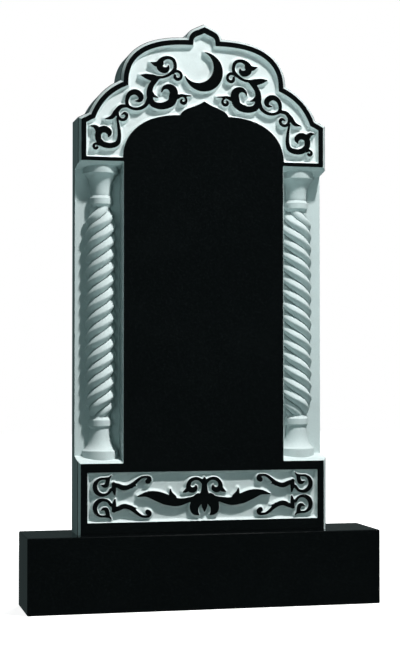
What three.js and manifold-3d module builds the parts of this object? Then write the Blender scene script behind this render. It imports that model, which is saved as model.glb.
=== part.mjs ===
// A granite headstone: an upright stele with a lobed, pointed top, carved in relief around a polished
// panel, with a twisted half-column in an open niche at each side, standing on a plain plinth block.
// Millimetres, +Z up, front towards -Y, origin under the middle of the plinth.

import * as THREE from 'three';
import { mergeVertices } from 'three/addons/utils/BufferGeometryUtils.js';
import Module from 'manifold-3d';

const wasm = await Module();
wasm.setup();

// Driving dimensions
const PLINTH = { width: 840, depth: 165, height: 175, arris: 2 };
const STELE = { width: 600, thickness: 90, peak: 1190, chamfer: 7 };
const RELIEF = { depth: 13, border: 10.8, archFloor: 874.3 };
const PANEL = { halfWidth: 194, archSpring: 874, cuspX: 58, cuspZ: 978, peak: 1012.5 };
const NICHE = { depth: 50, sill: 163.9, lintel: 866, sillRise: 9, lintelDrop: 9 };
const BASE_PANEL = { halfWidth: 278, bottom: 26.5, top: 144.3 };
const COLUMN = { x: 241, discRadius: 41, neckRadius: 24, collarRadius: 27.5, middle: 516 };
const SHAFT = { bottom: 269.5, crest: 36, groove: 28, strands: 4, lead: 120, taper: 44, endRadius: 23 };

// Places that follow from them
const FRONT = -STELE.thickness / 2;
const BACK = STELE.thickness / 2;
const FACE_HALF = STELE.width / 2 - STELE.chamfer;
const NICHE_BACK = FRONT + NICHE.depth;
const CLEAR = 1;
const WELD = 1e-4;
const CURVE_STEPS = 7;

const GRANITE = { color: 0x0d1112, roughness: 0.12, metalness: 0 };
const CARVED_GRANITE = { color: 0x1a2021, roughness: 0.35, metalness: 0 };

// Solids: a geometry becomes a solid that can be joined and cut, and goes back to a geometry

function toSolid(geometry) {
  const bare = geometry.clone();
  bare.deleteAttribute('normal');
  bare.deleteAttribute('uv');
  const merged = mergeVertices(bare, WELD);
  const triangles = [];
  for (let i = 0; i < merged.index.count; i += 3) {
    const [a, b, c] = [0, 1, 2].map((k) => merged.index.getX(i + k));
    if (a !== b && b !== c && c !== a) triangles.push(a, b, c);
  }
  const vertProperties = new Float32Array(merged.attributes.position.array);
  const triVerts = new Uint32Array(triangles);
  return new wasm.Manifold(new wasm.Mesh({ numProp: 3, vertProperties, triVerts }));
}

function toGeometry(body) {
  const mesh = body.getMesh();
  const geometry = new THREE.BufferGeometry();
  geometry.setAttribute('position', new THREE.BufferAttribute(new Float32Array(mesh.vertProperties), 3));
  geometry.setIndex(new THREE.BufferAttribute(new Uint32Array(mesh.triVerts), 1));
  geometry.computeVertexNormals();
  return geometry;
}

// A shape drawn on the front, with its x across and its y up, made solid from depth y0 back to y1
function frontSolid(shape, y0, y1) {
  const geometry = new THREE.ExtrudeGeometry(shape, { depth: y1 - y0, bevelEnabled: false });
  geometry.rotateX(Math.PI / 2);
  geometry.translate(0, y1, 0);
  return toSolid(geometry);
}

function boxSolid(low, high) {
  const size = new THREE.Vector3().subVectors(high, low);
  const middle = new THREE.Vector3().addVectors(high, low).multiplyScalar(0.5);
  return toSolid(new THREE.BoxGeometry(size.x, size.y, size.z).translate(middle.x, middle.y, middle.z));
}

// Outlines: the right half is drawn from the peak down, and mirrored about the middle

function mirrored(half) {
  const right = half.getPoints(CURVE_STEPS);
  const left = right.filter((p) => p.x > 0).map((p) => new THREE.Vector2(-p.x, p.y));
  return [...left, ...right.reverse()];
}

// Moves every side of an outline inwards by the same distance, corners mitred
function inset(outline, distance) {
  const longestMitre = 2;
  return outline.map((point, i) => {
    const before = outline.at(i - 1);
    const after = outline[(i + 1) % outline.length];
    const into = new THREE.Vector2().subVectors(point, before).normalize();
    const onward = new THREE.Vector2().subVectors(after, point).normalize();
    const bisector = new THREE.Vector2().addVectors(into, onward).normalize();
    const inward = new THREE.Vector2(-bisector.y, bisector.x);
    const stretch = Math.min(longestMitre, 1 / inward.dot(new THREE.Vector2(-into.y, into.x)));
    return point.clone().addScaledVector(inward, distance * stretch);
  });
}

// The polished face: a pointed finial, a full upper lobe, a flatter lower lobe and a sloped shoulder
function faceOutline() {
  const finial = { shoulderX: 22, shoulderZ: 1180, roundX: 37, roundZ: 1173, footX: 40, footZ: 1158 };
  const lobe = { x: 194, z: 1052.5, fullness: 0.66 };
  const shoulder = { x: 270, z: 973.5, edgeZ: 962, bulge: 16 };
  const half = new THREE.Path();
  half.moveTo(0, STELE.peak);
  half.lineTo(finial.shoulderX, finial.shoulderZ);
  half.quadraticCurveTo(finial.roundX, finial.roundZ, finial.footX, finial.footZ);
  half.bezierCurveTo(
    finial.footX + lobe.fullness * (lobe.x - finial.footX), finial.footZ,
    lobe.x, lobe.z + lobe.fullness * (finial.footZ - lobe.z),
    lobe.x, lobe.z,
  );
  half.quadraticCurveTo(
    (lobe.x + shoulder.x) / 2 + shoulder.bulge, (lobe.z + shoulder.z) / 2 + shoulder.bulge,
    shoulder.x, shoulder.z,
  );
  half.lineTo(FACE_HALF, shoulder.edgeZ);
  half.lineTo(FACE_HALF, -2 * STELE.chamfer);
  return mirrored(half);
}

// The head of the polished panel: a wide pointed arch with a small ogee at its peak
function panelHead() {
  const ogee = { hollowX: 16, hollowZ: 1002.5, x: 36, z: 996, roundX: 54, roundZ: 989 };
  const fullness = 0.64;
  const half = new THREE.Path();
  half.moveTo(0, PANEL.peak);
  half.quadraticCurveTo(ogee.hollowX, ogee.hollowZ, ogee.x, ogee.z);
  half.quadraticCurveTo(ogee.roundX, ogee.roundZ, PANEL.cuspX, PANEL.cuspZ);
  half.bezierCurveTo(
    PANEL.cuspX + fullness * (PANEL.halfWidth - PANEL.cuspX), PANEL.cuspZ,
    PANEL.halfWidth, PANEL.archSpring + fullness * (PANEL.cuspZ - PANEL.archSpring),
    PANEL.halfWidth, PANEL.archSpring,
  );
  half.lineTo(PANEL.halfWidth, PANEL.archSpring - 2 * STELE.chamfer);
  return mirrored(half);
}

// Ornament: each band runs through its points, then may wind around an eye by a turn in degrees, closing
// in to a share of its first distance. Its widths are spread evenly from one end to the other.
// The arch's bands are the right half's, and the left half mirrors them.

const ARCH_BANDS = [
  // crown scroll, its leaf and the leaf beside it
  { via: [[112, 1066], [98, 1067.5], [82, 1076], [71, 1090], [75, 1108.5], [88, 1113.5], [101, 1109],
    [108.5, 1098]], eye: [98, 1093], turn: -215, close: 1,
    widths: [5, 4.5, 5.5, 6.5, 6.5, 6, 7.5, 13, 12, 9, 1] },
  { via: [[106, 1099], [117, 1096.5], [128.5, 1100]], widths: [14, 9.5, 0.8] },
  { via: [[110, 1065], [126, 1064.5], [140, 1067.5], [153, 1069.5]], widths: [6, 14, 11, 0.8] },
  // great scroll with its thorn, and the two small curls beside it
  { via: [[116, 1062], [129, 1044], [132, 1020], [124, 1003], [107, 998.5], [91, 1001.5], [79, 1009.5],
    [75, 1023]], eye: [89.5, 1030], turn: -198, close: 0.86,
    widths: [10, 11, 12.5, 13, 13, 15, 16.5, 20, 19, 10, 1] },
  { via: [[129, 1030], [122, 1022], [112, 1018.3]], widths: [8, 6, 0.8] },
  { via: [[80, 1076], [72, 1081]], eye: [65.5, 1071], turn: 310, close: 0.5,
    widths: [4, 5, 5, 5, 5.5, 6.5, 5] },
  { via: [[66, 1021], [56, 1025], [44, 1025.3], [32, 1025.2]], widths: [8, 5.5, 2.5, 0.8] },
  { via: [[54, 1026], [46.5, 1021]], eye: [52, 1013.5], turn: 290, close: 0.35,
    widths: [3.5, 4, 4, 6, 6, 2] },
  // running stem, its round scroll, and the leaf and curl at its end
  { via: [[134, 1014], [140, 1001], [152, 992], [168, 989.5], [188, 996.5]], widths: [9, 7, 6, 5.2, 6] },
  { via: [[181, 994], [187, 1003], [186, 1014], [181, 1024], [172, 1030]], eye: [162.5, 1018], turn: 225,
    close: 0.68, widths: [5, 6, 6.5, 7.5, 9, 11, 12, 9, 1] },
  { via: [[186, 996], [200, 993.5], [211, 982], [222, 968], [237, 963.5]], widths: [6, 8, 10, 8, 0.8] },
  { via: [[203, 991], [208.5, 981]], eye: [196.5, 973.5], turn: -270, close: 0.42,
    widths: [6, 6, 6, 7, 6, 2] },
  // corner scroll with its leaf and curl
  { via: [[209, 966], [205, 944], [203.8, 925], [208, 908.5], [222, 902], [241, 904], [252, 914],
    [253, 930]], eye: [240.3, 928.5], turn: 203, close: 0.92,
    widths: [3, 4, 6, 8, 11, 12.5, 13, 13, 13.5, 11, 1] },
  { via: [[252, 935], [261, 944.5], [270.7, 946]], widths: [13, 8.5, 0.8] },
  { via: [[250, 904], [258, 905.5]], eye: [258.5, 898.5], turn: -230, close: 0.5, widths: [6, 4, 4, 5, 5] },
];

// The crescent between the crown scrolls: a disc less a smaller disc
const CRESCENT = { x: -1.5, z: 1085, radius: 46, biteX: -14.5, biteZ: 1094.5, biteRadius: 38 };

// Palmette in the middle of the base panel: the bands that stand on the middle line, then the right half
const PALMETTE_BANDS = [
  { via: [[0, 129], [0, 122], [0, 108], [0, 96], [0, 86], [0, 76]], widths: [0.8, 12.5, 13.5, 14.5, 36, 60] },
  { via: [[0, 76], [0, 62], [0, 49]], widths: [13, 12.5, 0.8] },
];
const BASE_BANDS = [
  // lobe, horn and its leaf
  { via: [[14, 79], [24.8, 61], [22.5, 49], [13.5, 41]], widths: [24, 22, 17, 0.8] },
  { via: [[3, 117], [12, 124], [22, 126], [33, 121.5], [38.3, 112]], eye: [28.3, 108.5], turn: -215,
    close: 0.75, widths: [8, 5.5, 6, 6.5, 7.5, 10, 11.5, 10, 0.8] },
  { via: [[39, 103], [45, 97.5], [53, 94.5]], widths: [9, 7, 0.8] },
  // long leaf and its thorn
  { via: [[4, 84], [22, 79], [42, 74.5], [64, 71.8], [88, 77], [112, 86], [136, 91.2], [159, 87]],
    widths: [18, 13.5, 13.5, 18.5, 23, 21, 11, 0.8] },
  { via: [[78, 86], [83, 95], [81.5, 102]], widths: [8, 5, 0.8] },
];
// End scroll of the base panel: these are also mirrored about the panel's own middle height
const END_SCROLL_MIDDLE = 86;
const END_SCROLL_BANDS = [
  { via: [[213, 91.5], [215, 104], [215.2, 120.6]], widths: [2, 9, 8] },
  { via: [[221, 118], [208, 113.5], [192, 107.3], [180, 109.5], [170, 115.5], [160, 124], [149, 131],
    [138, 132]], eye: [136, 125.5], turn: 190, close: 0.55,
    widths: [5, 9.5, 10, 9, 7.5, 5.5, 4, 4.5, 10.5] },
  { via: [[174, 110], [167, 112], [160.5, 110.8]], widths: [7, 4.5, 0.8] },
  { via: [[221.5, 136.5], [226, 131], [236, 129.5], [247, 128.7]], eye: [240.8, 111.3], turn: -228,
    close: 1.1, widths: [0.8, 4.5, 3.5, 4.5, 8, 9.5, 9.5, 8, 5.5, 4.5, 6] },
  { via: [[229, 130], [230.5, 121], [233, 114], [239, 112.3], [245, 115.3]], widths: [8, 8.5, 8.5, 6, 0.8] },
];

function bandLine({ via, eye, turn, close }) {
  const degreesPerPoint = 40;
  const points = via.map(([x, z]) => new THREE.Vector3(x, z, 0));
  if (eye) {
    const arm = points.at(-1).clone().sub(new THREE.Vector3(eye[0], eye[1], 0));
    const steps = Math.ceil(Math.abs(turn) / degreesPerPoint);
    for (let k = 1; k <= steps; k++) {
      const share = k / steps;
      const angle = Math.atan2(arm.y, arm.x) + THREE.MathUtils.degToRad(turn * share);
      const reach = arm.length() * (1 + (close - 1) * share);
      points.push(new THREE.Vector3(eye[0] + reach * Math.cos(angle), eye[1] + reach * Math.sin(angle), 0));
    }
  }
  return new THREE.CatmullRomCurve3(points);
}

function widthAt(widths, share) {
  const place = share * (widths.length - 1);
  const k = Math.min(Math.floor(place), widths.length - 2);
  return THREE.MathUtils.lerp(widths[k], widths[k + 1], place - k);
}

// Cuts a band into short four-sided lengths, each held off the inside of a tight bend
function bandShapes(band) {
  const stepLength = 9;
  const mostOfRadius = 0.8;
  const line = bandLine(band);
  const count = Math.max(3, Math.round(line.getLength() / stepLength));
  const points = line.getSpacedPoints(count);
  const edges = points.map((point, k) => {
    const along = new THREE.Vector3().subVectors(points[Math.min(k + 1, count)], points[Math.max(k - 1, 0)]);
    const across = new THREE.Vector2(-along.y, along.x).normalize();
    const half = widthAt(band.widths, k / count) / 2;
    const before = points[Math.max(k - 1, 0)];
    const after = points[Math.min(k + 1, count)];
    const bend = new THREE.Vector2(before.x + after.x - 2 * point.x, before.y + after.y - 2 * point.y);
    const radius = along.lengthSq() / (4 * Math.max(bend.length(), WELD));
    const inner = Math.min(half, mostOfRadius * radius);
    const turnsLeft = bend.dot(across) > 0;
    const centre = new THREE.Vector2(point.x, point.y);
    return {
      left: centre.clone().addScaledVector(across, turnsLeft ? inner : half),
      right: centre.clone().addScaledVector(across, turnsLeft ? -half : -inner),
    };
  });
  return edges.slice(1).map((edge, k) => [edges[k].right, edge.right, edge.left, edges[k].left]);
}

const mirrorX = (corners) => corners.map((p) => new THREE.Vector2(-p.x, p.y)).reverse();
const flipZ = (p) => new THREE.Vector2(p.x, 2 * END_SCROLL_MIDDLE - p.y);
const mirrorZ = (corners) => corners.map(flipZ).reverse();

function ornamentShapes() {
  const endScroll = END_SCROLL_BANDS.flatMap(bandShapes);
  const rightHalf = [
    ...ARCH_BANDS.flatMap(bandShapes),
    ...BASE_BANDS.flatMap(bandShapes),
    ...endScroll,
    ...endScroll.map(mirrorZ),
  ];
  return [...PALMETTE_BANDS.flatMap(bandShapes), ...rightHalf, ...rightHalf.map(mirrorX)];
}

function crescentSolid(y0, y1) {
  const disc = (x, z, radius) => new THREE.Shape().absarc(x, z, radius, 0, 2 * Math.PI);
  const whole = frontSolid(disc(CRESCENT.x, CRESCENT.z, CRESCENT.radius), y0, y1);
  const bite = frontSolid(disc(CRESCENT.biteX, CRESCENT.biteZ, CRESCENT.biteRadius), y0 - CLEAR, y1 + CLEAR);
  return whole.subtract(bite);
}

// Every band and the crescent stand up from the sunk ground to the level of the face
function ornamentSolid() {
  const root = FRONT + RELIEF.depth + CLEAR;
  const bands = ornamentShapes().map((corners) => frontSolid(new THREE.Shape(corners), FRONT, root));
  return wasm.Manifold.union([...bands, crescentSolid(FRONT, root)]);
}

// The sunk grounds of the arch and of the base panel
function groundSolid(face) {
  const y0 = FRONT - CLEAR;
  const y1 = FRONT + RELIEF.depth;
  const head = frontSolid(new THREE.Shape(inset(face, RELIEF.border)), y0, y1);
  const panel = frontSolid(new THREE.Shape(panelHead()), y0 - CLEAR, y1 + CLEAR);
  const below = boxSolid(
    new THREE.Vector3(-STELE.width, y0 - CLEAR, -STELE.width),
    new THREE.Vector3(STELE.width, y1 + CLEAR, RELIEF.archFloor),
  );
  const base = boxSolid(
    new THREE.Vector3(-BASE_PANEL.halfWidth, y0, BASE_PANEL.bottom),
    new THREE.Vector3(BASE_PANEL.halfWidth, y1, BASE_PANEL.top),
  );
  return head.subtract(panel).subtract(below).add(base);
}

// A niche open to the front and to its side: its sill and lintel are chamfered, then slope to the back
function nicheSolid(side) {
  const c = STELE.chamfer;
  const profile = new THREE.Shape([
    new THREE.Vector2(FRONT - CLEAR, NICHE.sill - CLEAR),
    new THREE.Vector2(FRONT + c, NICHE.sill + c),
    new THREE.Vector2(NICHE_BACK, NICHE.sill + c + NICHE.sillRise),
    new THREE.Vector2(NICHE_BACK, NICHE.lintel - c - NICHE.lintelDrop),
    new THREE.Vector2(FRONT + c, NICHE.lintel - c),
    new THREE.Vector2(FRONT - CLEAR, NICHE.lintel + CLEAR),
  ]);
  const reach = STELE.width / 2 + CLEAR - PANEL.halfWidth;
  const geometry = new THREE.ExtrudeGeometry(profile, { depth: reach, bevelEnabled: false });
  const axes = [new THREE.Vector3(0, 1, 0), new THREE.Vector3(0, 0, 1), new THREE.Vector3(1, 0, 0)];
  geometry.applyMatrix4(new THREE.Matrix4().makeBasis(...axes));
  geometry.translate(side > 0 ? PANEL.halfWidth : -PANEL.halfWidth - reach, 0, 0);
  return toSolid(geometry);
}

// Column: a disc, a hollow flare and a collar turned at each end, and a shaft of twisted strands between
function columnEnd() {
  const { discRadius, neckRadius, collarRadius } = COLUMN;
  const around = 24;
  const flareSteps = 5;
  const rim = { radius: discRadius - 2, z: 193 };
  const hollow = { lowRadius: 29, lowZ: 203, highRadius: neckRadius + 1, highZ: 218, top: 241 };
  const collar = { bottom: 243.5, edge: 6.5, pinch: neckRadius - 0.5 };
  const flare = new THREE.CubicBezierCurve(
    new THREE.Vector2(rim.radius, rim.z),
    new THREE.Vector2(hollow.lowRadius, hollow.lowZ),
    new THREE.Vector2(hollow.highRadius, hollow.highZ),
    new THREE.Vector2(neckRadius, hollow.top),
  );
  const profile = [
    new THREE.Vector2(0, NICHE.sill),
    new THREE.Vector2(discRadius, NICHE.sill),
    ...flare.getPoints(flareSteps),
    new THREE.Vector2(collar.pinch, collar.bottom),
    new THREE.Vector2(collarRadius, collar.bottom + collar.edge),
    new THREE.Vector2(collarRadius, SHAFT.bottom - collar.edge),
    new THREE.Vector2(collar.pinch, SHAFT.bottom),
    new THREE.Vector2(0, SHAFT.bottom),
  ];
  return new THREE.LatheGeometry(profile, around).rotateX(Math.PI / 2);
}

function shaftGeometry(side) {
  const pointsPerStrand = 5;
  const levelsPerTurn = 10;
  const roundness = 1.6;
  const count = SHAFT.strands * pointsPerStrand;
  const section = Array.from({ length: count }, (_, k) => {
    const across = 2 * ((k / pointsPerStrand) % 1) - 1;
    const radius = SHAFT.groove + (SHAFT.crest - SHAFT.groove) * (1 - Math.abs(across) ** roundness);
    const angle = (2 * Math.PI * k) / count;
    return new THREE.Vector2(radius * Math.cos(angle), radius * Math.sin(angle));
  });
  const length = 2 * (COLUMN.middle - SHAFT.bottom);
  const steps = Math.round((length / SHAFT.lead) * levelsPerTurn);
  const settings = { depth: length, steps, bevelEnabled: false };
  const geometry = new THREE.ExtrudeGeometry(new THREE.Shape(section), settings);
  const position = geometry.attributes.position;
  const axis = new THREE.Vector3(0, 0, 1);
  for (let i = 0; i < position.count; i++) {
    const point = new THREE.Vector3().fromBufferAttribute(position, i);
    const fromEnd = Math.min(point.z, length - point.z) / SHAFT.taper;
    const swell = Math.sin((Math.PI / 2) * Math.min(1, fromEnd));
    const scale = (SHAFT.endRadius + (SHAFT.crest - SHAFT.endRadius) * swell) / SHAFT.crest;
    point.applyAxisAngle(axis, (-side * 2 * Math.PI * point.z) / SHAFT.lead);
    position.setXYZ(i, point.x * scale, point.y * scale, point.z);
  }
  return geometry.translate(0, 0, SHAFT.bottom);
}

function columnSolid(side) {
  const foot = toSolid(columnEnd());
  const head = foot.mirror([0, 0, 1]).translate([0, 0, 2 * COLUMN.middle]);
  const reach = COLUMN.discRadius + CLEAR;
  const standing = boxSolid(
    new THREE.Vector3(-reach, -reach, 0),
    new THREE.Vector3(reach, CLEAR, 2 * COLUMN.middle),
  );
  return wasm.Manifold.union([foot, toSolid(shaftGeometry(side)), head])
    .intersect(standing)
    .translate([side * COLUMN.x, NICHE_BACK, 0]);
}

// The stele is one block: a chamfered slab, sunk, cut and carved
function steleGeometry() {
  const face = faceOutline();
  const slabShape = new THREE.Shape(face);
  const slab = new THREE.ExtrudeGeometry(slabShape, {
    depth: STELE.thickness,
    bevelThickness: STELE.chamfer,
    bevelSize: STELE.chamfer,
    bevelSegments: 1,
  });
  slab.rotateX(Math.PI / 2);
  slab.translate(0, BACK + STELE.chamfer, 0);
  const room = boxSolid(
    new THREE.Vector3(-STELE.width, FRONT, 0),
    new THREE.Vector3(STELE.width, BACK, 2 * STELE.peak),
  );
  const body = toSolid(slab)
    .intersect(room)
    .subtract(groundSolid(face))
    .subtract(nicheSolid(-1))
    .subtract(nicheSolid(1));
  return toGeometry(wasm.Manifold.union([body, ornamentSolid(), columnSolid(-1), columnSolid(1)]));
}

function plinthGeometry() {
  const { width, depth, height, arris } = PLINTH;
  const plan = new THREE.Shape([
    new THREE.Vector2(-width / 2, -depth / 2),
    new THREE.Vector2(width / 2, -depth / 2),
    new THREE.Vector2(width / 2, depth / 2),
    new THREE.Vector2(-width / 2, depth / 2),
  ]);
  const block = new THREE.ExtrudeGeometry(plan, {
    depth: height - 2 * arris,
    bevelThickness: arris,
    bevelSize: arris,
    bevelOffset: -arris,
    bevelSegments: 1,
  });
  return block.translate(0, 0, arris);
}

const headstone = new THREE.Group();

const plinth = new THREE.Mesh(plinthGeometry(), new THREE.MeshStandardMaterial(GRANITE));
plinth.name = 'plinth';
headstone.add(plinth);

const stele = new THREE.Mesh(steleGeometry(), new THREE.MeshStandardMaterial(CARVED_GRANITE));
stele.name = 'stele';
stele.position.z = PLINTH.height;
headstone.add(stele);

export default headstone;
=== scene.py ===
import math

import bmesh
import bpy
import numpy as np
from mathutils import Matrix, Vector
from mathutils.geometry import tessellate_polygon


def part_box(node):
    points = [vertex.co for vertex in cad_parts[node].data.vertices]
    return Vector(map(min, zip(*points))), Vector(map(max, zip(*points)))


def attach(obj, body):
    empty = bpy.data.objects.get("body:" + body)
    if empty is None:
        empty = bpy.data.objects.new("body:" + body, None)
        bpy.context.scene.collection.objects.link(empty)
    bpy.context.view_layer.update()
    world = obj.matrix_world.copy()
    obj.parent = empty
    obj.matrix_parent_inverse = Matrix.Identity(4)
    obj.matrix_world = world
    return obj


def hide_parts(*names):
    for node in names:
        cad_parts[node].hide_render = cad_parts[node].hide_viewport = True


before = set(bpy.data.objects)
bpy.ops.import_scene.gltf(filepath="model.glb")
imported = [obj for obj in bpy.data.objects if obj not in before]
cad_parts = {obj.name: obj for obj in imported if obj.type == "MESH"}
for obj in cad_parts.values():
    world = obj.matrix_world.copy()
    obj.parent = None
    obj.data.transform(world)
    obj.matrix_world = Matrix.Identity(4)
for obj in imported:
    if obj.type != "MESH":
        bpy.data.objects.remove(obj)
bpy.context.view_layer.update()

# Plinth
# One plain block of black granite, sawn to size and polished on every side that shows.
# It lies on the ground, and the stele stands on it by its own weight.

MM = 0.001
CRYSTALS_A_METRE, FLECKS_A_METRE, CLOUDS_A_METRE = 620, 1500, 9
BLACK_STONE = (0.0014, 0.0019, 0.0021, 1)
PALE_CRYSTAL = (0.0100, 0.0125, 0.0130, 1)


class Shade:
    """A shader socket in a Python expression: each operator on it adds one Math node to its tree."""

    def __init__(self, tree, socket=None):
        self.tree = tree
        self.socket = socket

    def add(self, kind, settings, sockets, out=0):
        """Adds a node of any type: settings first, then a value or a link for each socket named."""
        node = self.tree.nodes.new(kind)
        for name, value in settings.items():
            setattr(node, name, value)
        for name, value in sockets.items():
            if isinstance(value, Shade):
                self.tree.links.new(value.socket, node.inputs[name])
            else:
                node.inputs[name].default_value = value
        return Shade(self.tree, node.outputs[out] if node.outputs else None)

    def math(self, operation, first, second):
        return self.add("ShaderNodeMath", {"operation": operation}, {0: first, 1: second})

    def __add__(self, other):
        return self.math("ADD", self, other)

    def __sub__(self, other):
        return self.math("SUBTRACT", self, other)

    def __rsub__(self, other):
        return self.math("SUBTRACT", other, self)

    def __mul__(self, other):
        return self.math("MULTIPLY", self, other)

    __radd__ = __add__
    __rmul__ = __mul__

    def above(self, low, high):
        """A smooth step of this value: 0 at low, 1 at high."""
        return self.add("ShaderNodeMapRange", {"interpolation_type": "SMOOTHSTEP"},
                        {"Value": self, "From Min": low, "From Max": high})

    def blend(self, first, second):
        """A colour between first and second, by this value."""
        return self.add("ShaderNodeMix", {"data_type": "RGBA"}, {0: self, 6: first, 7: second}, out=2)

    def noise(self, place, scale, detail=2.0):
        """Soft noise from 0 to 1 with about scale blotches a metre."""
        return self.add("ShaderNodeTexNoise", {}, {"Vector": place, "Scale": scale, "Detail": detail})

    def grains(self, place, scale):
        """One random value for each crystal: the cells of a Voronoi pattern with scale cells a metre."""
        cells = self.add("ShaderNodeTexVoronoi", {}, {"Vector": place, "Scale": scale}, out="Color")
        return self.add("ShaderNodeSeparateColor", {}, {"Color": cells})


def begin(tree):
    """Where a material's expressions start, and the place on the object that its patterns read."""
    start = Shade(tree)
    return start, start.add("ShaderNodeTexCoord", {}, {}, out="Object")


def polished_granite(tree):
    """Black granite under a mirror polish: dark crystals with a few paler ones, and a faint cloudiness."""
    start, place = begin(tree)
    crystal = start.grains(place, CRYSTALS_A_METRE).above(0.72, 1.0)
    fleck = start.grains(place, FLECKS_A_METRE).above(0.9, 1.0)
    cloud = start.noise(place, CLOUDS_A_METRE, 3)
    pale = crystal * 0.4 + fleck * 0.35 + (cloud - 0.5) * 0.3
    roughness = 0.07 + start.noise(place, 40) * 0.07 + fleck * 0.05
    return start.add("ShaderNodeBsdfPrincipled", {}, {
        "Base Color": pale.blend(BLACK_STONE, PALE_CRYSTAL), "Roughness": roughness,
        "Specular IOR Level": 0.4})


def material(name, shader):
    """A material whose surface is what shader(tree) returns."""
    made = bpy.data.materials.new(name)
    made.use_nodes = True
    made.node_tree.nodes.clear()
    surface = shader(made.node_tree)
    surface.add("ShaderNodeOutputMaterial", {}, {"Surface": surface})
    return made


POLISHED = material("polished granite", polished_granite)

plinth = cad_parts["plinth"]
plinth.data.materials.clear()
plinth.data.materials.append(POLISHED)
_, plinth_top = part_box("plinth")
PLINTH_HEIGHT = plinth_top.z / MM

# Stele block
# One slab of the same granite, cut to a lobed outline with a chamfered front edge. The face is polished
# black, the chamfers and the open niches at both sides are honed pale, and the sides and back are sawn.

# Millimetres: x from the middle, y back from the middle of the thickness, z up from the stele's foot
FRONT, BACK = -45.0, 45.0
CHAMFER, EDGE_ROUND = 7.0, 1.3
FACE_HALF, PANEL_HALF, ARRIS = 293.0, 194.0, 1.2
SILL, LINTEL = 163.9, 866.0
NICHE_BACK, NICHE_SLOPE = 5.0, 9.0

GRAINS_A_METRE = 900
HONED_DARK, HONED_PALE = (0.48, 0.55, 0.548, 1), (0.63, 0.71, 0.705, 1)
SAWN_DARK, SAWN_PALE = (0.44, 0.52, 0.52, 1), (0.62, 0.70, 0.70, 1)


def cut_stone(start, place, clouds, grit, weights):
    """How pale cut stone is, about 0 to 1: a weighted sum of grain, cloud and grit. Also the grit alone."""
    grain = start.grains(place, GRAINS_A_METRE)
    cloud = start.noise(place, clouds, 4)
    fine = start.noise(place, grit, 3)
    tone = (grain - 0.5) * weights[0] + (cloud - 0.5) * weights[1] + (fine - 0.5) * weights[2] + 0.5
    return tone, fine


def honed_granite(tree, dark=HONED_DARK, pale=HONED_PALE):
    """The same stone cut and honed: a pale grey bloom over fine grain, with a soft tooled surface."""
    start, place = begin(tree)
    tone, fine = cut_stone(start, place, 14, 380, (0.30, 0.5, 0.5))
    tooled = start.noise(place, 700, 3) + start.noise(place, 160, 2) * 0.8
    relief = start.add("ShaderNodeBump", {}, {"Strength": 0.35, "Distance": 0.0006, "Height": tooled})
    return start.add("ShaderNodeBsdfPrincipled", {}, {
        "Base Color": tone.blend(dark, pale), "Roughness": 0.62 + fine * 0.25, "Normal": relief,
        "Specular IOR Level": 0.25})


def sawn_granite(tree):
    """The same stone as the saw left it: darker and duller than the honed parts."""
    start, place = begin(tree)
    tone, fine = cut_stone(start, place, 11, 420, (0.35, 0.5, 0.6))
    relief = start.add("ShaderNodeBump", {}, {"Strength": 0.4, "Distance": 0.0008, "Height": fine})
    return start.add("ShaderNodeBsdfPrincipled", {}, {
        "Base Color": tone.blend(SAWN_DARK, SAWN_PALE), "Roughness": 0.8, "Normal": relief,
        "Specular IOR Level": 0.2})


HONED = material("honed granite", honed_granite)
SAWN = material("sawn granite", sawn_granite)


def bezier(count, *corners):
    """count points along a Bezier curve with these corners, the first one left out."""
    t = np.linspace(0, 1, count + 1)[1:, None]
    points = [np.broadcast_to(np.array(c, float), (count, 2)) for c in corners]
    while len(points) > 1:
        points = [a + t * (b - a) for a, b in zip(points, points[1:])]
    return points[0]


def both_sides(half):
    """A half outline from the peak down the right side, carried over: right foot to left foot."""
    return np.concatenate([half[::-1], half[1:] * (-1, 1)])


def face_outline(foot):
    """The polished face's edge: pointed finial, full lobe, flatter lobe, sloped shoulder and side."""
    peak, cheek, finial = (0, 1190), (20, 1181), (38, 1157.5)
    lobe, shoulder, corner = (194, 1052.5), (270, 973.5), (FACE_HALF, 962)
    fullness, bulge = 0.66, 16
    lobe_top = (finial[0] + fullness * (lobe[0] - finial[0]), finial[1])
    lobe_side = (lobe[0], lobe[1] + fullness * (finial[1] - lobe[1]))
    low_lobe = ((lobe[0] + shoulder[0]) / 2 + bulge, (lobe[1] + shoulder[1]) / 2 + bulge)
    return both_sides(np.concatenate([
        [peak, cheek],
        bezier(10, cheek, (37, 1174), finial),
        bezier(36, finial, lobe_top, lobe_side, lobe),
        bezier(20, lobe, low_lobe, shoulder),
        [corner, (FACE_HALF, foot)],
    ]))


def panel_head():
    """The polished panel's top: a wide pointed arch with a small ogee at its peak."""
    peak, turn, cusp, spring = (0, 1012.5), (36, 996), (58, 978), (PANEL_HALF, 874)
    top_share, side_share = 0.57, 0.64
    arch_top = (cusp[0] + top_share * (spring[0] - cusp[0]), cusp[1])
    arch_side = (spring[0], spring[1] + side_share * (cusp[1] - spring[1]))
    return both_sides(np.concatenate([
        [peak],
        bezier(8, peak, (16, 1002.5), turn),
        bezier(8, turn, (54, 989), cusp),
        bezier(32, cusp, arch_top, arch_side, spring),
    ]))


def moved_in(path, distance):
    """An open path moved to its left by a distance: each point goes along the mitre of its two sides."""
    sharpest = 0.5
    along = np.diff(path, axis=0)
    along = along / np.linalg.norm(along, axis=1)[:, None]
    before = np.concatenate([along[:1], along])
    after = np.concatenate([along, along[-1:]])
    mitre = before + after
    mitre = mitre / np.linalg.norm(mitre, axis=1)[:, None]
    left = np.stack([-mitre[:, 1], mitre[:, 0]], axis=1)
    stretch = 1 / np.maximum(sharpest, np.sum(mitre * before, axis=1))
    return path + left * (distance * stretch)[:, None]


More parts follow.
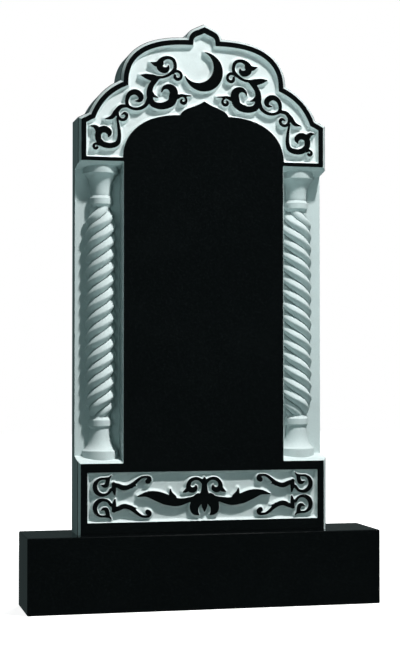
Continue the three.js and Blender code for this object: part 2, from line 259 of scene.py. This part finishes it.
def grid_quads(rows, columns):
    """The quads of a grid of points numbered row by row."""
    first = (np.arange(rows - 1)[:, None] * columns + np.arange(columns - 1)).ravel()
    return np.stack([first, first + 1, first + columns + 1, first + columns], axis=1)


class Shell:
    """Collects surfaces in millimetres above the stele's foot, each with its material's number."""

    merge_gap = 0.02 * MM

    def __init__(self):
        self.points = []
        self.faces = []
        self.finish = []
        self.count = 0

    def take(self, points, faces, finish):
        """Points and the faces between them, all in one finish."""
        points = np.asarray(points, float).reshape(-1, 3)
        self.points.append(points)
        self.faces.extend((np.asarray(faces) + self.count).tolist())
        self.finish.extend([finish] * len(faces))
        self.count += len(points)

    def sheet(self, grid, finish):
        """A grid of points, rows by columns, as quads."""
        rows, columns = grid.shape[:2]
        self.take(grid, grid_quads(rows, columns), finish)

    def flat(self, rings, y, finish):
        """A flat face at depth y inside the first ring and outside the others, rings of (x, z)."""
        corners = np.concatenate(rings)
        loops = [[Vector((x, z, 0)) for x, z in ring] for ring in rings]
        points = np.stack([corners[:, 0], np.full(len(corners), y), corners[:, 1]], axis=1)
        self.take(points, tessellate_polygon(loops), finish)

    def piece(self, name, materials, crease):
        """The collected surfaces as one object: doubles merged, faces outwards, edges over crease sharp."""
        mesh = bpy.data.meshes.new(name)
        points = np.concatenate(self.points) + (0, 0, PLINTH_HEIGHT)
        mesh.from_pydata((points * MM).tolist(), [], self.faces)
        mesh.polygons.foreach_set("material_index", self.finish)
        for each in materials:
            mesh.materials.append(each)
        work = bmesh.new()
        work.from_mesh(mesh)
        bmesh.ops.remove_doubles(work, verts=work.verts, dist=self.merge_gap)
        bmesh.ops.recalc_face_normals(work, faces=work.faces)
        work.to_mesh(mesh)
        work.free()
        mesh.shade_smooth()
        mesh.set_sharp_from_angle(angle=math.radians(crease))
        made = bpy.data.objects.new(name, mesh)
        bpy.context.scene.collection.objects.link(made)
        return made


# The border runs round the arch and widens up the finial, where its lower edge drops by this much, from
# this height over this run. The base panel is a plain oblong.
BORDER, ARCH_FLOOR = 10.8, 874.3
FINIAL_DROP, FINIAL_FROM, FINIAL_RUN = 2.2, 1148.0, 25.0
BASE_HALF, BASE_LOW, BASE_HIGH = 278.0, 26.5, 144.3

arch_ring = moved_in(face_outline(ARCH_FLOOR), BORDER)
arch_ring[:, 1] -= FINIAL_DROP * np.clip((arch_ring[:, 1] - FINIAL_FROM) / FINIAL_RUN, 0, 1)
arch_ring = np.concatenate([arch_ring, panel_head()[::-1]])
base_ring = np.array([(BASE_HALF, BASE_LOW), (BASE_HALF, BASE_HIGH),
                      (-BASE_HALF, BASE_HIGH), (-BASE_HALF, BASE_LOW)])

BLACK, PALE, GREY = 0, 1, 2
BLOCK_CREASE = 35
block = Shell()

# The face, whose sides step in at the niches to the panel's arris
head_path = face_outline(LINTEL)
face_x = PANEL_HALF - ARRIS
right_edge = np.array([(FACE_HALF, 0), (FACE_HALF, SILL), (PANEL_HALF, SILL),
                       (face_x, SILL + ARRIS), (face_x, LINTEL - ARRIS), (PANEL_HALF, LINTEL)])
left_edge = right_edge[::-1] * (-1, 1)
block.flat([np.concatenate([right_edge, head_path, left_edge]), arch_ring, base_ring], FRONT, BLACK)

# The outer edge's profile, from the face to the depth of the niches; sills and lintels slope over it
insets = -np.array([0, CHAMFER - EDGE_ROUND, CHAMFER, CHAMFER])
depths = FRONT + np.array([0, CHAMFER - EDGE_ROUND, CHAMFER + EDGE_ROUND / 2, NICHE_BACK - FRONT])
slope = np.interp(depths, [FRONT, FRONT + CHAMFER, NICHE_BACK], [0, CHAMFER, CHAMFER + NICHE_SLOPE])
sill_z = SILL + slope
lintel_z = LINTEL - slope
edge_x = FACE_HALF - insets


def carried(path, insets, depths):
    """A profile of (inset, depth) pairs carried along an open path: rows follow the profile."""
    rings = [moved_in(path, inset) for inset in insets]
    return np.stack([np.insert(ring, 1, y, axis=1) for ring, y in zip(rings, depths)])


def edge_sheets(grid):
    """The outer edge in its three finishes: a pale chamfer, a thin polished line and a grey side."""
    for row, finish in enumerate((PALE, BLACK, GREY)):
        block.sheet(grid[row:row + 2], finish)


head_edge = carried(head_path, insets, depths)
head_edge[:, 0, 2] = lintel_z
head_edge[:, -1, 2] = lintel_z
edge_sheets(head_edge)
whole_path = face_outline(0)
block.sheet(carried(whole_path, [-CHAMFER, -CHAMFER], [NICHE_BACK, BACK]), GREY)
block.flat([moved_in(whole_path, -CHAMFER)], BACK, GREY)

for side in (-1, 1):
    base_edge = [np.stack([side * edge_x, depths, z], axis=1) for z in (0 * sill_z, sill_z)]
    edge_sheets(np.stack(base_edge, axis=1))
    inner_x = np.full(len(depths), PANEL_HALF)
    for level in (sill_z, lintel_z):
        ledge = [np.stack([side * x, depths, level], axis=1) for x in (inner_x, edge_x)]
        block.sheet(np.stack(ledge), PALE)
    wall = [[(side * x, NICHE_BACK, z) for x in (PANEL_HALF, edge_x[-1])]
            for z in (sill_z[-1], lintel_z[-1])]
    block.sheet(np.array(wall), PALE)
    cheek = np.array([(side * PANEL_HALF, y, z) for y, z in (
        *zip(depths, sill_z), *zip(depths[::-1], lintel_z[::-1]),
        (FRONT + ARRIS, LINTEL - ARRIS), (FRONT + ARRIS, SILL + ARRIS))])
    block.take(cheek, tessellate_polygon([[Vector((y, z, 0)) for _, y, z in cheek]]), PALE)
    arris = np.array([(side * x, y, z) for x, y, z in (
        (PANEL_HALF, FRONT, SILL), (face_x, FRONT, SILL + ARRIS),
        (face_x, FRONT, LINTEL - ARRIS), (PANEL_HALF, FRONT, LINTEL),
        (PANEL_HALF, FRONT + ARRIS, LINTEL - ARRIS), (PANEL_HALF, FRONT + ARRIS, SILL + ARRIS))])
    block.take(arris, [(0, 1, 5), (1, 2, 4), (1, 4, 5), (2, 3, 4)], PALE)

foot_side = np.stack([np.append(edge_x, edge_x[-1]), np.append(depths, BACK)], axis=1)
foot = np.concatenate([foot_side, foot_side[::-1] * (-1, 1)])
block.take(np.insert(foot, 2, 0, axis=1), tessellate_polygon([[Vector((x, y, 0)) for x, y in foot]]), PALE)

stele = block.piece("stele_block", [POLISHED, HONED, SAWN], BLOCK_CREASE)
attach(stele, "root")
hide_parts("stele")

# Carving of the arch
# The ground around the panel's head is sunk with a drafted wall, and scrolls, leaves and a crescent are
# left standing. Their tops are the polished face itself, so they stay black on the pale ground.

# How wide the wall's draft and the fillet at its foot are, how much of the depth the wall takes, and how
# far every standing edge reaches beyond its drawn line
DRAFT, FILLET, WALL_SHARE, BOLD = 4.2, 3.5, 0.86, 0.9
ARCH_DEPTH, ARCH_PITCH = 11.5, 1.25
ARCH_DARK, ARCH_PALE = (0.66, 0.72, 0.715, 1), (0.80, 0.86, 0.855, 1)
CHIPS_A_METRE = 900

# Each band runs through its points, then may wind round an eye by a turn in degrees, closing in to a
# share of its first distance. Its widths are spread evenly from one end to the other.
ARCH_BANDS = [
    # crown scroll, its leaf and the leaf beside it
    dict(via=[(112, 1066), (98, 1067.5), (82, 1076), (71, 1090), (75, 1108.5), (88, 1113.5), (101, 1109),
              (108.5, 1098), (107, 1089), (101, 1084.3), (94, 1083.8), (88.5, 1087.5), (86.8, 1094.5)],
         widths=[5, 4.5, 5.2, 6.2, 6.5, 6.5, 6, 8, 13, 14, 12.5, 1]),
    dict(via=[(106, 1099), (117, 1096.5), (128.5, 1100)], widths=[14, 9.5, 0.8]),
    dict(via=[(110, 1065), (126, 1064.5), (140, 1067.5), (153, 1069.5)], widths=[6, 14, 11, 0.8]),
    # great scroll with its thorn, and the two small curls beside it
    dict(via=[(116, 1062), (129, 1044), (132, 1020), (124, 1003), (107, 998.5), (91, 1001.5), (79, 1009.5),
              (75, 1023)],
         eye=(89.5, 1030), turn=-198, close=0.86,
         widths=[10, 11, 12.5, 13, 13, 15, 16.5, 19, 17.5, 9.5, 1]),
    dict(via=[(129, 1030), (122, 1022), (112, 1018.3)], widths=[8, 6, 0.8]),
    dict(via=[(80, 1076), (72, 1081)], eye=(65.5, 1071), turn=310, close=0.5,
         widths=[4, 5, 5, 5, 5.5, 6.5, 5]),
    dict(via=[(66, 1021), (56, 1025), (44, 1025.3), (32, 1025.2)], widths=[8, 5.5, 2.5, 0.8]),
    dict(via=[(54, 1026), (46.5, 1021)], eye=(52, 1013.5), turn=290, close=0.35,
         widths=[3.5, 4, 4, 6, 6, 2]),
    # running stem, its round scroll, and the leaf and curl at its end
    dict(via=[(134, 1014), (140, 1001), (152, 992), (168, 989.5), (188, 996.5)],
         widths=[9, 7, 6, 5.2, 6]),
    dict(via=[(181, 994), (186, 1003), (185, 1014), (180, 1023.5), (170, 1029), (160, 1027.3),
              (153.3, 1020.5), (152.8, 1013), (157.5, 1008.8), (165, 1008.2)],
         widths=[4.5, 6, 7.2, 8.5, 10.5, 11.5, 12.2, 11.5, 7, 1]),
    dict(via=[(186, 996), (200, 993.5), (211, 982), (222, 968), (237, 963.5)], widths=[6, 8, 10, 8, 0.8]),
    dict(via=[(203, 991), (207.8, 981), (206.5, 970), (200, 963.3), (192, 963.8), (186.6, 969.5),
              (186.8, 976), (191.5, 978.3), (198, 974.8)],
         widths=[5, 5, 5, 5, 5.2, 5.5, 6, 6, 1]),
    # corner scroll with its leaf and curl
    dict(via=[(209, 966), (205, 944), (203.8, 925), (208, 908.5), (222, 902), (241, 904), (252, 914),
              (253.3, 928), (248, 936.5), (239, 939.5), (230.5, 936), (227, 929.5), (229.5, 922)],
         widths=[3, 4.5, 5.8, 7, 8.5, 10.5, 11.3, 11.8, 12.3, 12.5, 13.2, 14.5, 13, 1]),
    dict(via=[(252, 935), (261, 944.5), (270.7, 946)], widths=[13, 8.5, 0.8]),
    dict(via=[(250, 904), (258, 905.5)], eye=(258.5, 898.5), turn=-230, close=0.5,
         widths=[6, 4, 4, 5, 5]),
]
MOON, MOON_RADIUS = (-2.2, 1083.8), 46.2
BITE, BITE_RADIUS = (-15.8, 1095), 39


def carved_granite(tree, dark=ARCH_DARK, pale=ARCH_PALE):
    """Polished where the edge attribute is below nothing, honed beyond it, with tiny chips between."""
    start, place = begin(tree)
    edge = start.add("ShaderNodeAttribute", {"attribute_name": "edge"}, {}, out="Fac")
    chipped = edge + (start.noise(place, CHIPS_A_METRE, 2) - 0.5) * 0.5
    return start.add("ShaderNodeMixShader", {}, {
        0: chipped.above(0.0, 0.12), 1: polished_granite(tree), 2: honed_granite(tree, dark, pale)})


def arc(centre, radius, angle):
    """Points at these angles round a centre, at one radius or one for each."""
    return np.stack([centre[0] + radius * np.cos(angle), centre[1] + radius * np.sin(angle)], axis=1)


def band_line(via, eye=None, turn=0, close=1):
    """The points a band passes: its own, then an arm turned about the eye while it closes in."""
    degrees_a_point = 40
    points = np.array(via, float)
    if eye is None:
        return points
    arm = points[-1] - eye
    share = np.linspace(0, 1, math.ceil(abs(turn) / degrees_a_point) + 1)[1:]
    angle = math.atan2(arm[1], arm[0]) + np.radians(turn) * share
    reach = np.hypot(*arm) * (1 + (close - 1) * share)
    return np.concatenate([points, arc(eye, reach, angle)])


def smooth_line(points, step):
    """A centripetal Catmull-Rom curve through the points, in equal steps of about the length given."""
    samples_a_point = 24
    ends = np.concatenate([[2 * points[0] - points[1]], points, [2 * points[-1] - points[-2]]])
    knots = np.concatenate([[0], np.cumsum(np.linalg.norm(np.diff(ends, axis=0), axis=1) ** 0.5)])
    t = np.linspace(knots[1], knots[-2], samples_a_point * len(points))
    k = np.clip(np.searchsorted(knots, t, "right") - 1, 1, len(points) - 1)
    p = [ends[k - 1 + j] for j in range(4)]
    s = [knots[k - 1 + j] for j in range(4)]

    def between(a, b, low, high):
        return a + (b - a) * ((t - low) / (high - low))[:, None]

    a = [between(p[j], p[j + 1], s[j], s[j + 1]) for j in range(3)]
    b = [between(a[j], a[j + 1], s[j], s[j + 2]) for j in range(2)]
    line = between(b[0], b[1], s[1], s[2])
    run = np.concatenate([[0], np.cumsum(np.linalg.norm(np.diff(line, axis=0), axis=1))])
    even = np.linspace(0, run[-1], max(4, round(run[-1] / step)))
    return np.stack([np.interp(even, run, line[:, j]) for j in range(2)], axis=1)


def band_edge(x, z, widths, **course):
    """Distance of every point (x, z) from a band's edge, below nothing inside it: the least over its
    segments of the distance to the segment less the half width there."""
    step, far = 2.5, 26.0
    line = smooth_line(band_line(**course), step)
    half = np.interp(np.linspace(0, 1, len(line)), np.linspace(0, 1, len(widths)), widths) / 2
    edge = np.full(x.shape, far)
    low, high = line.min(0) - far, line.max(0) + far
    near = (x > low[0]) & (x < high[0]) & (z > low[1]) & (z < high[1])
    place = np.stack([x[near], z[near]], axis=1)[:, None]
    run = np.diff(line, axis=0)
    share = np.sum((place - line[:-1]) * run, axis=2) / np.sum(run * run, axis=1)
    share = np.clip(share, 0, 1)
    gap = np.linalg.norm(place - line[:-1] - share[..., None] * run, axis=2)
    edge[near] = np.min(gap - half[:-1] - share * np.diff(half), axis=1)
    return edge


def bands_edge(x, z, bands):
    """The least distance from the edges of several bands."""
    return np.min([band_edge(x, z, **band) for band in bands], axis=0)


def ring_edge(x, z, ring):
    """Distance of every point from a closed ring, above nothing inside it."""
    after = np.roll(ring, -1, axis=0)
    gap = np.full(x.shape, np.inf)
    inside = np.zeros(x.shape, bool)
    for a, b in zip(ring, after):
        run = b - a
        share = np.clip(((x - a[0]) * run[0] + (z - a[1]) * run[1]) / max(run @ run, 1e-9), 0, 1)
        gap = np.minimum(gap, np.hypot(x - a[0] - share * run[0], z - a[1] - share * run[1]))
        if a[1] != b[1]:
            inside ^= ((a[1] > z) != (b[1] > z)) & (x < a[0] + (z - a[1]) * run[0] / run[1])
    return np.where(inside, gap, -gap)


def sunk_depth(edge, full):
    """Depth below the face: a drafted wall from the edge, rounding into the flat ground at full depth."""
    wall = np.clip(edge / DRAFT, 0, 1)
    turn = np.clip((edge - DRAFT) / FILLET, 0, 1)
    return full * (WALL_SHARE * wall + (1 - WALL_SHARE) * turn * (2 - turn))


def tool_ripple(x, z, edge):
    """The faint waves a chisel leaves on the flat ground: two bent sines multiplied."""
    height = 0.16
    wave = np.sin(x / 7.3 + 1.7 * np.sin(z / 11.9)) * np.sin(z / 6.1 + 1.3 * np.sin(x / 9.7))
    return height * wave * np.clip((edge - DRAFT) / FILLET, 0, 1)


def cut_squares(quads, on_edge, level):
    """Each square as two triangles, cut along the edge where two opposite corners lie on it, and
    otherwise between the opposite corners that are nearer in depth."""
    a, b, c, d = quads.T
    first = on_edge[a] & on_edge[c]
    second = on_edge[b] & on_edge[d]
    nearer = np.abs(level[a] - level[c]) <= np.abs(level[b] - level[d])
    along_ac = np.where(first == second, nearer, first)[:, None]
    return np.concatenate([
        np.where(along_ac, np.stack([a, b, c], axis=1), np.stack([a, b, d], axis=1)),
        np.where(along_ac, np.stack([a, c, d], axis=1), np.stack([b, c, d], axis=1))])


def carving(name, ring, depth, pitch, standing, finish):
    """A sunk ground inside a ring, with what is left standing on it, as a height over a square grid.

    standing(x, z) gives the distance to the ornament's edge. Grid points close to the edge are moved onto
    it, and each square is cut along the edge, so the rim of every scroll is a clean line. The sheet runs
    on a little way under the face around the ring."""
    snap, lap, lap_depth, crease = 0.7 * pitch, 2.5 * pitch, 0.06, 38
    low, high = ring.min(0) - 2 * pitch, ring.max(0) + 2 * pitch
    columns, rows = np.ceil((high - low) / pitch).astype(int) + 1
    x, z = np.meshgrid(low[0] + pitch * np.arange(columns), low[1] + pitch * np.arange(rows))

    def edges(x, z):
        rim = ring_edge(x, z, ring)
        return rim, np.minimum(rim, standing(x, z)) - BOLD

    _, edge = edges(x, z)
    slope_z, slope_x = np.gradient(edge, pitch)
    steep = np.maximum(slope_x ** 2 + slope_z ** 2, 0.5)
    on_edge = np.abs(edge) < snap
    x = np.where(on_edge, x - edge * slope_x / steep, x)
    z = np.where(on_edge, z - edge * slope_z / steep, z)
    rim, moved = edges(x, z)
    edge = np.where(on_edge, 0, moved)
    level = FRONT + sunk_depth(edge, depth) + tool_ripple(x, z, edge) + np.where(rim <= 0, lap_depth, 0)
    quads = grid_quads(rows, columns)
    quads = quads[(rim.ravel()[quads] > -lap).all(axis=1)]
    kept, triangles = np.unique(cut_squares(quads, on_edge.ravel(), level.ravel()), return_inverse=True)
    points = np.stack([x.ravel(), level.ravel(), z.ravel() + PLINTH_HEIGHT], axis=1)[kept]
    mesh = bpy.data.meshes.new(name)
    mesh.from_pydata((points * MM).tolist(), [], triangles.reshape(-1, 3).tolist())
    mesh.attributes.new("edge", "FLOAT", "POINT").data.foreach_set("value", edge.ravel()[kept])
    mesh.materials.append(finish)
    mesh.shade_smooth()
    mesh.set_sharp_from_angle(angle=math.radians(crease))
    made = bpy.data.objects.new(name, mesh)
    bpy.context.scene.collection.objects.link(made)
    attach(made, "root")


def crescent():
    """The crescent's ring: the moon's circle from tip to tip the long way, and back along the bite's."""
    across = np.array(BITE) - MOON
    apart = np.hypot(*across)
    lean = math.atan2(across[1], across[0])
    outer = math.acos((apart ** 2 + MOON_RADIUS ** 2 - BITE_RADIUS ** 2) / (2 * apart * MOON_RADIUS))
    inner = math.acos((MOON_RADIUS ** 2 - apart ** 2 - BITE_RADIUS ** 2) / (2 * apart * BITE_RADIUS))
    out_turn = lean + np.linspace(outer, 2 * np.pi - outer, 60)
    back_turn = lean + np.linspace(2 * np.pi - inner, inner, 50)[1:-1]
    return np.concatenate([arc(MOON, MOON_RADIUS, out_turn), arc(BITE, BITE_RADIUS, back_turn)])


def arch_ornament(x, z):
    """The bands of the right half, the same on the left, and the crescent: a disc less a smaller disc."""
    return np.minimum(bands_edge(np.abs(x), z, ARCH_BANDS), -ring_edge(x, z, crescent()))


CARVED = material("carved granite", carved_granite)
carving("arch_carving", arch_ring, ARCH_DEPTH, ARCH_PITCH, arch_ornament, CARVED)

# Carving of the base
# A long sunk panel across the stele's foot, cut like the arch, with a palmette in the middle, a leaf to
# each side and a pair of scrolls at each end, one above the other. Its ground is painted greyer than the
# arch's: a painted shade for the dimmer light at the stele's foot.

BASE_DEPTH, BASE_PITCH = 9.5, 1.1
# The base ground's tones are darker than the arch's, a painted shade for the dimmer light at the foot
BASE_SHADED_DARK, BASE_SHADED_PALE = (0.50, 0.56, 0.555, 1), (0.62, 0.68, 0.675, 1)
PALMETTE = [
    # bud and stem
    dict(via=[(0, 129), (0, 122), (0, 108), (0, 96), (0, 86), (0, 80)],
         widths=[0.8, 11, 11.5, 13, 18.5, 26]),
    dict(via=[(0, 76), (0, 62), (0, 49)], widths=[13, 12.5, 0.8]),
    # lobe, horn and its leaf
    dict(via=[(14, 79), (24.8, 61), (22.5, 49), (13.5, 41)], widths=[24, 22, 17, 0.8]),
    dict(via=[(3, 117), (12, 124), (22, 126), (33, 121.5), (38.3, 112)],
         eye=(28.3, 108.5), turn=-215, close=0.75,
         widths=[8, 5.5, 6, 6.5, 7.5, 10, 11.5, 10, 0.8]),
    dict(via=[(39, 103), (44.5, 97.8), (51, 94.8)], widths=[9, 7, 0.8]),
    # long leaf and its thorn
    dict(via=[(4, 84), (17, 82.3), (30, 79), (44, 75), (64, 71.8), (88, 77), (112, 86), (136, 91.2),
              (159, 87)],
         widths=[18, 12, 8, 10, 12.5, 15.5, 18.5, 21, 23, 23, 21, 16.5, 11, 6, 0.8]),
    dict(via=[(74, 82), (78.4, 88.3), (81, 94), (81.8, 102)], widths=[12.5, 9.5, 5.6, 0.8]),
]
SCROLL_MIDDLE = 86
END_SCROLL = [
    # post, and the arm with its curl and thorn
    dict(via=[(213, 91.5), (215, 104), (215.2, 116.5)], widths=[2, 9, 8]),
    dict(via=[(217.5, 117.5), (208, 113.5), (192, 107.3), (180, 109.5), (170, 115.5), (160, 124),
              (149, 131), (138, 132)],
         eye=(136, 125.5), turn=190, close=0.55,
         widths=[5, 9.5, 10, 9, 7.5, 5.5, 4, 4.5, 10.5]),
    dict(via=[(174, 110), (169, 112), (163.5, 111.8)], widths=[7, 4.5, 0.8]),
    # round scroll and the leaf inside it
    dict(via=[(221.5, 136.5), (226, 131), (236, 129.5), (247, 128.7)],
         eye=(240.8, 111.3), turn=-228, close=1.1,
         widths=[0.8, 4.5, 3.5, 4.5, 8, 9.5, 9.5, 8, 5.5, 4.5, 6]),
    dict(via=[(229.5, 127), (230.5, 121), (233, 114), (239, 112.3), (245, 115.3)],
         widths=[8, 8.5, 8.5, 6, 0.8]),
]


def base_ornament(x, z):
    """The palmette's bands of the right half, and the end scroll mirrored about its own middle height."""
    mirrored_z = SCROLL_MIDDLE + np.abs(z - SCROLL_MIDDLE)
    palmette = bands_edge(np.abs(x), z, PALMETTE)
    return np.minimum(palmette, bands_edge(np.abs(x), mirrored_z, END_SCROLL))


def carved_base_painted_shade(tree):
    """The carved finish with its ground painted greyer than the arch's: painted shade for the dimmer light
    low down.
    """
    return carved_granite(tree, BASE_SHADED_DARK, BASE_SHADED_PALE)


# A greyer copy of the carved finish: painted shade on the base's ground
carving("base_carving", base_ring, BASE_DEPTH, BASE_PITCH, base_ornament,
        material("carved base with painted shade", carved_base_painted_shade))

# Columns
# A half-column stands out from each niche's back wall, cut from the slab itself: a disc, a hollow flare
# and a collar at each end, and between them a shaft of four strands twisted like a rope.

COLUMN_X, COLUMN_MIDDLE, COLUMN_CREASE = 239.5, 516.0, 30
DISC, NECK, COLLAR = 42.5, 23.6, 28.2
SHAFT_LOW = 269.5
SHAFT_HIGH = 2 * COLUMN_MIDDLE - SHAFT_LOW
# Strands, the height in which one goes once round, and how far the pattern is set down
STRANDS, LEAD, STRAND_DROP = 4, 120.0, 10.3
# Radius of a strand's crest and groove, the crest's radius at the shaft's ends, and the height it swells in
CREST, GROOVE, SHAFT_END, TAPER = 37.5, 29.0, 23.0, 44.0
# A strand's roundness as a power, and the narrow notch between strands: where it starts, depth, power
ROUNDNESS, NOTCH_FROM, NOTCH_DEPTH, NOTCH_POWER = 1.45, 0.87, 6, 1.5
# How far the back of a column runs into the wall
COLUMN_ROOT = 2


def column_end():
    """Radius and height up one end: disc with a rounded rim, hollow flare, groove and chamfered collar."""
    foot, rim, flare_low, flare_high = (DISC, 160), (DISC, 190.5), (40.4, 193), (24.4, 241)
    return np.concatenate([
        [foot, rim],
        bezier(3, rim, (DISC, 192.6), flare_low),
        bezier(14, flare_low, (29.5, 203), (25.5, 218), flare_high),
        [(NECK, 243.5), (COLLAR, 250), (COLLAR, 263), (NECK, SHAFT_LOW)],
    ])


def column(name, side):
    """The column as radius over angle and height. On the shaft the grid turns with the strands, so a
    groove runs along a line of points. With u from 0 at a strand's crest to 1 at its groove, the radius
    falls by u to a power, and by a narrow notch where u nears 1. Both ends are alike."""
    rows, points_a_strand = 221, 48
    end = column_end()
    shaft_z = np.linspace(SHAFT_LOW, SHAFT_HIGH, rows)[1:-1]
    z = np.concatenate([end[:, 1], shaft_z, 2 * COLUMN_MIDDLE - end[::-1, 1]])
    count = points_a_strand * STRANDS
    k = np.arange(count)
    across = np.abs(2 * ((k * STRANDS / count) % 1) - 1)
    notch = np.clip((across - NOTCH_FROM) / (1 - NOTCH_FROM), 0, 1) ** NOTCH_POWER
    strand = GROOVE + (CREST - GROOVE) * (1 - across ** ROUNDNESS) - NOTCH_DEPTH * notch
    from_end = np.minimum(shaft_z - SHAFT_LOW, SHAFT_HIGH - shaft_z) / TAPER
    swell = np.sin(np.pi / 2 * np.clip(from_end, 0, 1))
    scale = (SHAFT_END + (CREST - SHAFT_END) * swell) / CREST
    turned = np.repeat(end[:, :1], count, axis=1)
    radius = np.concatenate([turned, scale[:, None] * strand, turned[::-1]])
    climb = np.clip(z, SHAFT_LOW, SHAFT_HIGH) - SHAFT_LOW + STRAND_DROP
    twist = -side * 2 * np.pi * climb / LEAD
    angle = 2 * np.pi * k / count + twist[:, None]
    x = side * COLUMN_X + radius * np.cos(angle)
    y = NICHE_BACK + np.minimum(radius * np.sin(angle), COLUMN_ROOT)
    grid = np.stack([x, y, np.broadcast_to(z[:, None], x.shape)], axis=2)
    shell = Shell()
    shell.sheet(np.concatenate([grid, grid[:, :1]], axis=1), 0)
    fan = np.stack([k, np.roll(k, -1), np.full(count, count)], axis=1)
    for row in (grid[0], grid[-1]):
        shell.take(np.concatenate([row, [row.mean(axis=0)]]), fan, 0)
    made = shell.piece(name, [HONED], COLUMN_CREASE)
    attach(made, "root")


column("column_left", -1)
column("column_right", 1)

# Floor and light
# A plain pale floor and a dim even surround. A near lamp stands high to the right in front, a wide soft
# one fills from the left and one lights the back. Two weak low ones stand for light thrown up by the floor.

WHITE, NEAR_WHITE, FLOOR_GREY = (1, 1, 1, 1), (0.92, 0.92, 0.92, 1), (0.5, 0.5, 0.5, 1)
DIM_SURROUND = (0.040, 0.055, 0.055, 1)
CLEAR, COOL, COOLEST = (1, 1, 1), (0.8, 1, 1), (0.72, 1, 1)
FLOOR_HALF = 9
STONE_MIDDLE = (0, 0, 0.8)


def pale_floor(tree):
    """White paper that glows of itself, a little less near the stone so that its contact shadow shows."""
    start, place = begin(tree)
    away = start.add("ShaderNodeVectorMath", {"operation": "LENGTH"}, {0: place}, out="Value")
    return start.add("ShaderNodeBsdfPrincipled", {}, {
        "Base Color": FLOOR_GREY, "Roughness": 0.9, "Specular IOR Level": 0.0,
        "Emission Color": away.above(0.6, 3.0).blend(NEAR_WHITE, WHITE), "Emission Strength": 1.0})


floor_mesh = bpy.data.meshes.new("floor")
floor_corners = [(x * FLOOR_HALF, y * FLOOR_HALF, 0) for x, y in ((-1, -1), (1, -1), (1, 1), (-1, 1))]
floor_mesh.from_pydata(floor_corners, [], [(0, 1, 2, 3)])
floor_mesh.materials.append(material("pale floor", pale_floor))
floor = bpy.data.objects.new("floor", floor_mesh)
bpy.context.scene.collection.objects.link(floor)
floor.visible_diffuse = False
floor.visible_glossy = False

world = bpy.data.worlds.new("surround")
bpy.context.scene.world = world
world.use_nodes = True
world.node_tree.nodes.clear()
sky = Shade(world.node_tree)
seen = sky.add("ShaderNodeLightPath", {}, {}, out="Is Camera Ray")
surround = sky.add("ShaderNodeBackground", {}, {"Color": seen.blend(DIM_SURROUND, WHITE)})
surround.add("ShaderNodeOutputWorld", {}, {"Surface": surround})


def lamp(name, place, aim, size, strength, colour):
    """A round soft lamp at a place, in metres, turned towards a point. It lights far and near alike."""
    data = bpy.data.lights.new(name, "AREA")
    data.shape = "DISK"
    data.size = size
    data.energy = strength
    data.color = colour
    data.use_nodes = True
    data.node_tree.nodes.clear()
    glow = Shade(data.node_tree)
    even = glow.add("ShaderNodeLightFalloff", {}, {"Strength": 1.0}, out="Constant")
    light = glow.add("ShaderNodeEmission", {}, {"Strength": even})
    glow.add("ShaderNodeOutputLight", {}, {"Surface": light})
    made = bpy.data.objects.new(name, data)
    made.location = place
    made.rotation_euler = (Vector(place) - Vector(aim)).to_track_quat("Z", "Y").to_euler()
    made.visible_camera = False
    bpy.context.scene.collection.objects.link(made)
    return made


lamp("key", place=(0.52, -0.85, 2.34), aim=STONE_MIDDLE, size=0.12, strength=14, colour=CLEAR)
lamp("fill", place=(-2.0, -2.9, 0.45), aim=STONE_MIDDLE, size=2.4, strength=1.3, colour=COOLEST)
lamp("side", place=(1.5, -1.0, 0.14), aim=(0.24, 0, 0.65), size=0.8, strength=1.5, colour=COOL)
bounce = lamp("bounce", place=(0.12, -0.42, 0.1), aim=(0, 0, 0.95), size=0.2, strength=0.42, colour=COOL)
bounce.data.spread = math.radians(75)
bounce.visible_glossy = False
lamp("back", place=(1.2, 3.2, 2.6), aim=STONE_MIDDLE, size=2.0, strength=6, colour=CLEAR)

# Camera
# It stands to the left in front at about the panel's height and looks slightly up, as in the photograph.

PHOTO_HEIGHT, FOCAL_PIXELS, FILM = 650, 1529.79, 36.0
YAW, PITCH = math.radians(13.327), math.radians(1.502)
EYE = (-838.9, -3540.5, 566.5)
lens = bpy.data.cameras.new("camera")
lens.sensor_fit = "VERTICAL"
lens.sensor_height = FILM
lens.lens = FOCAL_PIXELS / PHOTO_HEIGHT * FILM
camera = bpy.data.objects.new("camera", lens)
camera.location = Vector(EYE) * MM
look = Vector((math.sin(YAW) * math.cos(PITCH), math.cos(YAW) * math.cos(PITCH), math.sin(PITCH)))
camera.rotation_euler = look.to_track_quat("-Z", "Y").to_euler()
bpy.context.scene.collection.objects.link(camera)
bpy.context.scene.camera = camera
bpy.context.scene.view_settings.view_transform = "Standard"
